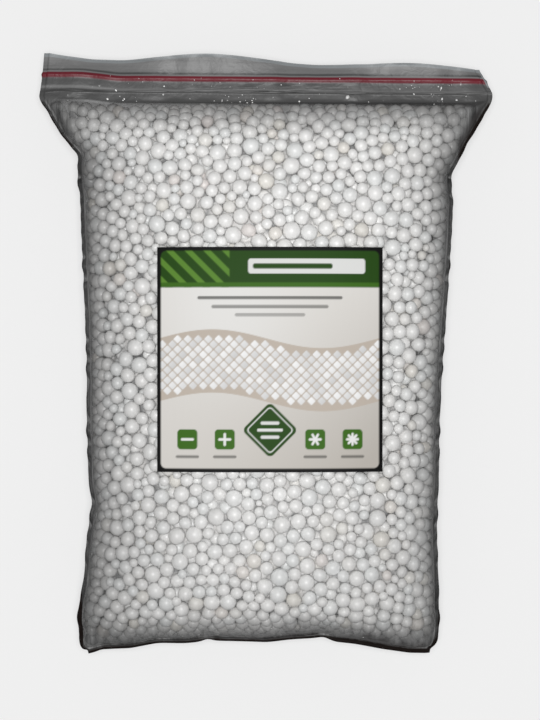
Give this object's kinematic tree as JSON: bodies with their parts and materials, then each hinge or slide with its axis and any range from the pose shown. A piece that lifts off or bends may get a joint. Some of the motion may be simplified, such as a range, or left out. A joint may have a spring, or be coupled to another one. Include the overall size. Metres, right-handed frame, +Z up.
{
  "type": "bag of polystyrene beads",
  "caption": "Clear zip-lock bag packed full of small white expanded polystyrene beads, with a flat zip header and a square label on its front, lying on its back.",
  "frame": {"origin": "middle of the bag's footprint, on the surface that its back rests on", "axes": "+Y along the bag towards the zip, +X across it, +Z up through its thickness, out of the labelled front"},
  "size_m": [0.2004, 0.267, 0.0706],
  "materials": {
    "bag_film": "clear soft film",
    "zip_rib_strip": "red, extruded",
    "zip_groove_strip": "translucent, extruded",
    "bead_filling": "white foam beads",
    "label": "coated, printed"
  },
  "bodies": {
    "root": {"bag_film": "bag_film", "zip_rib_strip": "zip_rib_strip", "zip_groove_strip": "zip_groove_strip", "bead_filling": "bead_filling", "label": "label"}
  },
  "joints": []
}
